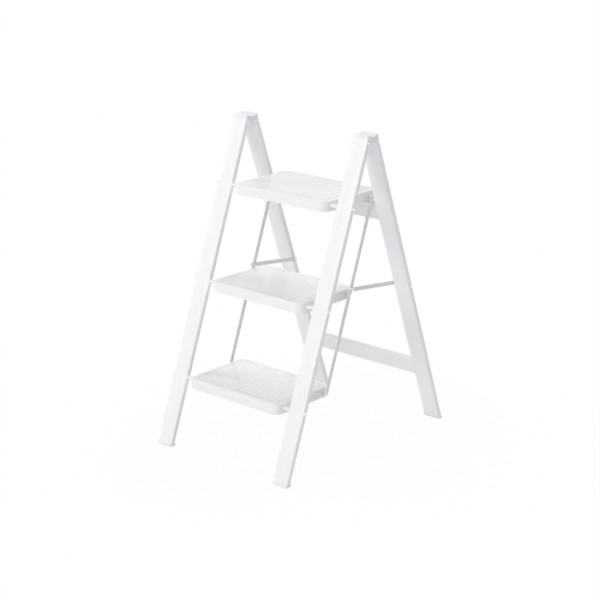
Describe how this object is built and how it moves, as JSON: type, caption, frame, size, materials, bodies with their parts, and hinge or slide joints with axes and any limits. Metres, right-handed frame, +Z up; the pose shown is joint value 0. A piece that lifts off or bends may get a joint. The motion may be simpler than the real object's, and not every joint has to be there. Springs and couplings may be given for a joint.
{
  "type": "folding step stool",
  "caption": "Folding A-frame step stool with wide flat legs, ribbed flat treads hung between the front legs, and link bars that fold treads and rear frame together.",
  "frame": {"origin": "on the floor, in the middle of the footprint of the open stool", "axes": "+Z up, +X to the user's right when facing the treads, +Y from the front legs to the rear legs"},
  "size_m": [0.454, 0.6358, 0.8283],
  "materials": {
    "white_coated_tube": "white powder-coated aluminium tube, satin",
    "white_tread": "white moulded ABS, semi-gloss",
    "tread_mat": "white ribbed non-slip plastic",
    "cap_plastic": "white moulded polypropylene",
    "foot_plastic": "pale grey-white moulded plastic, fine texture",
    "spacer_nylon": "white nylon",
    "coated_link": "white-coated flat steel",
    "rivet_steel": "zinc-plated steel rivet"
  },
  "bodies": {
    "front_frame": {"front_leg_left": "white_coated_tube", "front_leg_right": "white_coated_tube", "front_foot_left": "foot_plastic", "front_foot_right": "foot_plastic", "front_cap_left": "cap_plastic", "front_cap_right": "cap_plastic", "front_cap_rivets": "rivet_steel", "hinge_pin_left": "rivet_steel", "hinge_pin_right": "rivet_steel", "axle_bottom": "rivet_steel", "axle_middle": "rivet_steel", "axle_top": "rivet_steel", "axle_spacers_bottom": "spacer_nylon", "axle_spacers_middle": "spacer_nylon", "axle_spacers_top": "spacer_nylon"},
    "rear_frame": {"rear_leg_left": "white_coated_tube", "rear_leg_right": "white_coated_tube", "rear_foot_left": "foot_plastic", "rear_foot_right": "foot_plastic", "rear_cap_left": "cap_plastic", "rear_cap_right": "cap_plastic", "rear_cap_rivets": "rivet_steel", "upper_crossbar": "white_coated_tube", "lower_crossbar": "white_coated_tube", "stay_pins": "rivet_steel"},
    "step_bottom": {"tread_bottom": "white_tread", "tread_mat_bottom": "tread_mat", "link_rivets_bottom": "rivet_steel"},
    "step_middle": {"tread_middle": "white_tread", "tread_mat_middle": "tread_mat", "link_rivets_middle": "rivet_steel"},
    "step_top": {"tread_top": "white_tread", "tread_mat_top": "tread_mat", "link_rivets_top": "rivet_steel"},
    "long_link_left": {"link_left": "coated_link", "link_stud_left": "rivet_steel"},
    "stay_arm_left": {"stay_left": "coated_link", "stay_rivet_left": "rivet_steel"},
    "long_link_right": {"link_right": "coated_link", "link_stud_right": "rivet_steel"},
    "stay_arm_right": {"stay_right": "coated_link", "stay_rivet_right": "rivet_steel"}
  },
  "joints": [
    {"name": "rear_fold", "type": "hinge", "parent": "front_frame", "child": "rear_frame", "pos_m": [0, 0.00394, 0.8145], "axis": [-1, 0, 0], "range_deg": [0, 39.8]},
    {"name": "tread_fold_bottom", "type": "hinge", "parent": "front_frame", "child": "step_bottom", "pos_m": [0, -0.24618, 0.1735], "axis": [1, 0, 0], "range_deg": [0, 67.45]},
    {"name": "tread_fold_middle", "type": "hinge", "parent": "front_frame", "child": "step_middle", "pos_m": [0, -0.15835, 0.4135], "axis": [1, 0, 0], "range_deg": [0, 67.45]},
    {"name": "tread_fold_top", "type": "hinge", "parent": "front_frame", "child": "step_top", "pos_m": [0, -0.07053, 0.6535], "axis": [1, 0, 0], "range_deg": [0, 67.45]},
    {"name": "link_turn_left", "type": "hinge", "parent": "step_middle", "child": "long_link_left", "pos_m": [0, -0.01135, 0.4095], "axis": [-1, 0, 0], "range_deg": [0, 67.45]},
    {"name": "link_turn_right", "type": "hinge", "parent": "step_middle", "child": "long_link_right", "pos_m": [0, -0.01135, 0.4095], "axis": [-1, 0, 0], "range_deg": [0, 67.45]},
    {"name": "stay_turn_left", "type": "hinge", "parent": "rear_frame", "child": "stay_arm_left", "pos_m": [0, 0.16546, 0.40671], "axis": [-1, 0, 0], "range_deg": [0, 57.4]},
    {"name": "stay_turn_right", "type": "hinge", "parent": "rear_frame", "child": "stay_arm_right", "pos_m": [0, 0.16546, 0.40671], "axis": [-1, 0, 0], "range_deg": [0, 57.4]}
  ],
  "couplings": [
    {"joint": "tread_fold_bottom", "follows": "rear_fold", "ratio": 1.6945},
    {"joint": "tread_fold_middle", "follows": "rear_fold", "ratio": 1.6945},
    {"joint": "tread_fold_top", "follows": "rear_fold", "ratio": 1.6945},
    {"joint": "link_turn_left", "follows": "rear_fold", "ratio": 1.6945},
    {"joint": "link_turn_right", "follows": "rear_fold", "ratio": 1.6945},
    {"joint": "stay_turn_left", "follows": "rear_fold", "ratio": 1.4422},
    {"joint": "stay_turn_right", "follows": "rear_fold", "ratio": 1.4422}
  ]
}
